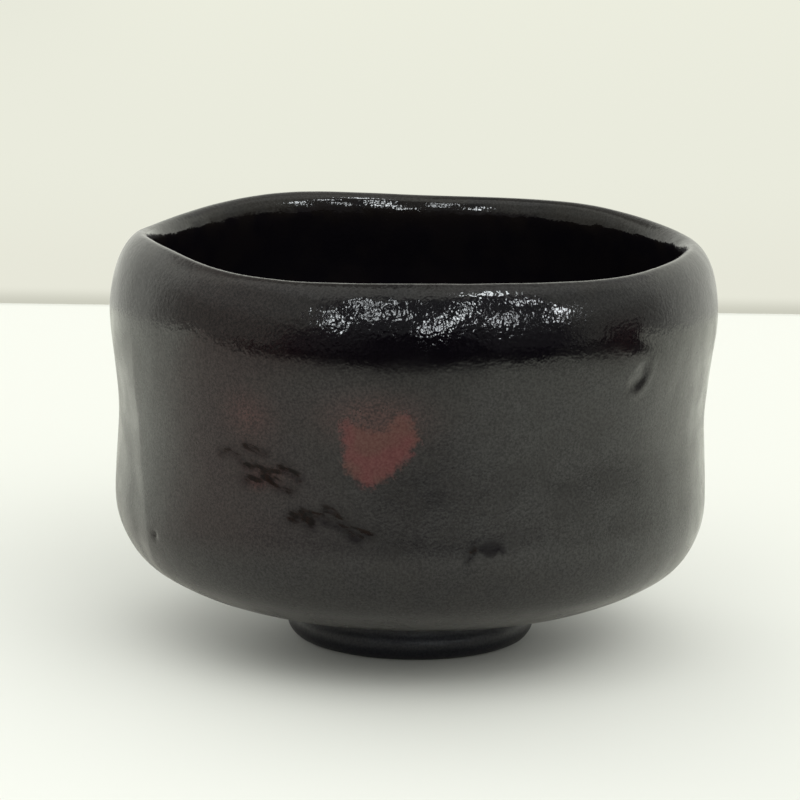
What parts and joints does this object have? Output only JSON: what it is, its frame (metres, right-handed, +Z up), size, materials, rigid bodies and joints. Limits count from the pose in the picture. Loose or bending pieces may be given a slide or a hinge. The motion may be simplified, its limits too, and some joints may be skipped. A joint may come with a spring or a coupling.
{
  "type": "matcha bowl",
  "caption": "Hand-formed black-glazed tea bowl: rounded lip, slightly waisted wall, turned-under base and a low foot ring with a shallow well.",
  "frame": {"origin": "centre of the foot's flat resting face", "axes": "+Z up along the bowl's axis, -Y towards the front, +X to the front view's right"},
  "size_m": [0.1194, 0.1205, 0.0817],
  "materials": {
    "raku_clay": "rough unglazed low-fired clay",
    "black_glaze": "near-black raku glaze, satin with an orange-peel shine at the shoulder and a dull iron-red patch"
  },
  "bodies": {
    "root": {"clay_body": "raku_clay", "foot_ring": "raku_clay", "outer_glaze": "black_glaze", "inner_glaze": "black_glaze", "foot_glaze": "black_glaze"}
  },
  "joints": []
}
